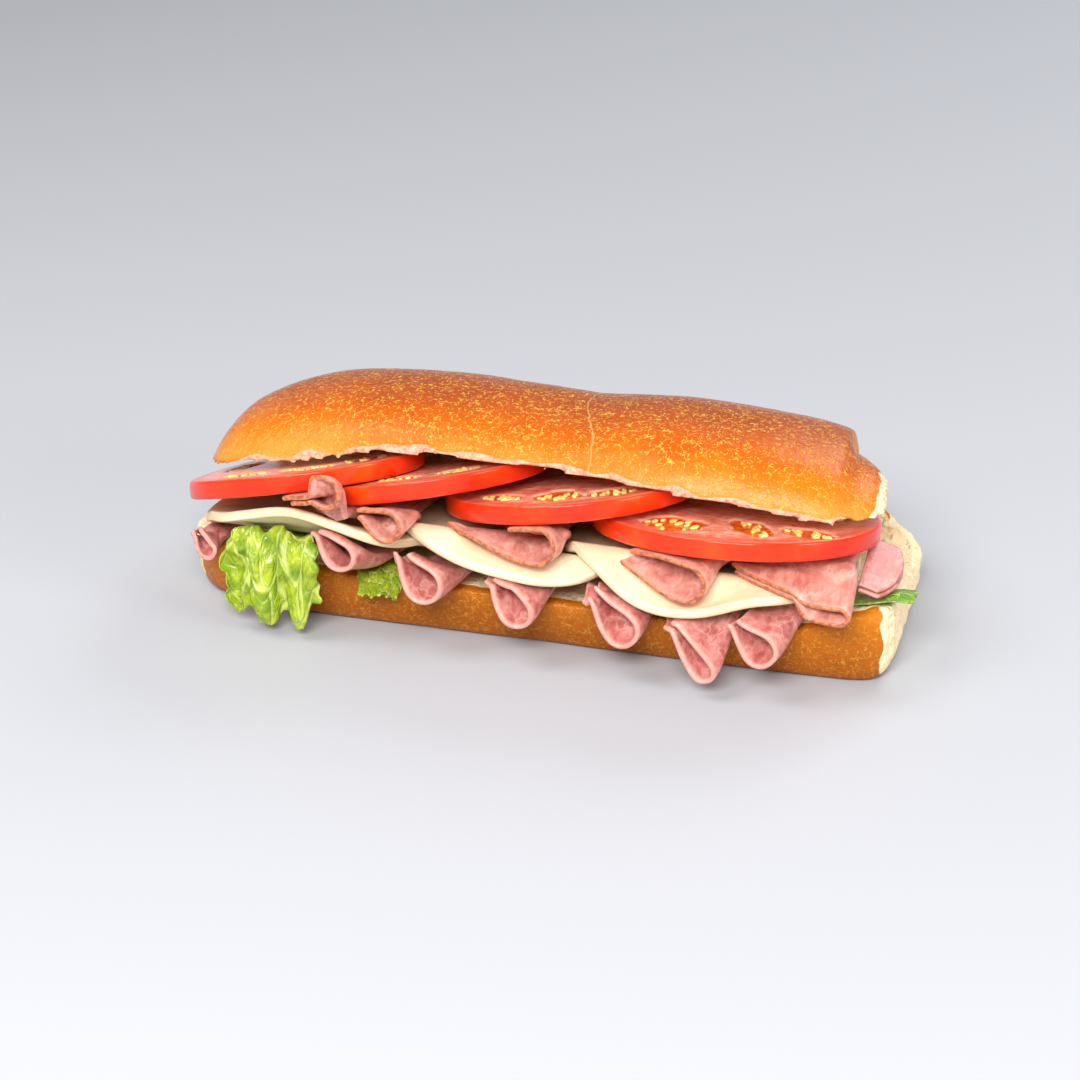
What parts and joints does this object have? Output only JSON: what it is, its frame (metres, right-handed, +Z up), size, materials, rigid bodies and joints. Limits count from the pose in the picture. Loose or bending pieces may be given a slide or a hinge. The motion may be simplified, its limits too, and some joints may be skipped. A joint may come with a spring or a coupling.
{
  "type": "submarine sandwich",
  "caption": "Long crusty bread roll, cut open along one side and filled with folded ham, cheese slices, tomato slices and a few lettuce leaves.",
  "frame": {"origin": "middle of the roll's flat underside, at the height it rests on", "axes": "+X along the roll, +Y from the open side towards the closed side, +Z up"},
  "size_m": [0.22, 0.0936, 0.0656],
  "materials": {
    "crust": "golden brown bread crust, satin",
    "tomato": "wet red tomato",
    "cheese": "creamy white cheese, satin",
    "ham": "moist pink cooked ham",
    "lettuce": "fresh yellow-green leaf"
  },
  "bodies": {
    "root": {"bread_roll": "crust", "tomato_1": "tomato", "tomato_2": "tomato", "tomato_3": "tomato", "tomato_4": "tomato", "cheese_1": "cheese", "cheese_2": "cheese", "cheese_3": "cheese", "ham_lower_1": "ham", "ham_lower_2": "ham", "ham_lower_3": "ham", "ham_lower_4": "ham", "ham_lower_5": "ham", "ham_lower_6": "ham", "ham_lower_7": "ham", "ham_lower_8": "ham", "ham_upper_1": "ham", "ham_upper_2": "ham", "ham_upper_3": "ham", "ham_upper_4": "ham", "ham_upper_5": "ham", "lettuce_1": "lettuce", "lettuce_2": "lettuce", "lettuce_3": "lettuce"}
  },
  "joints": []
}
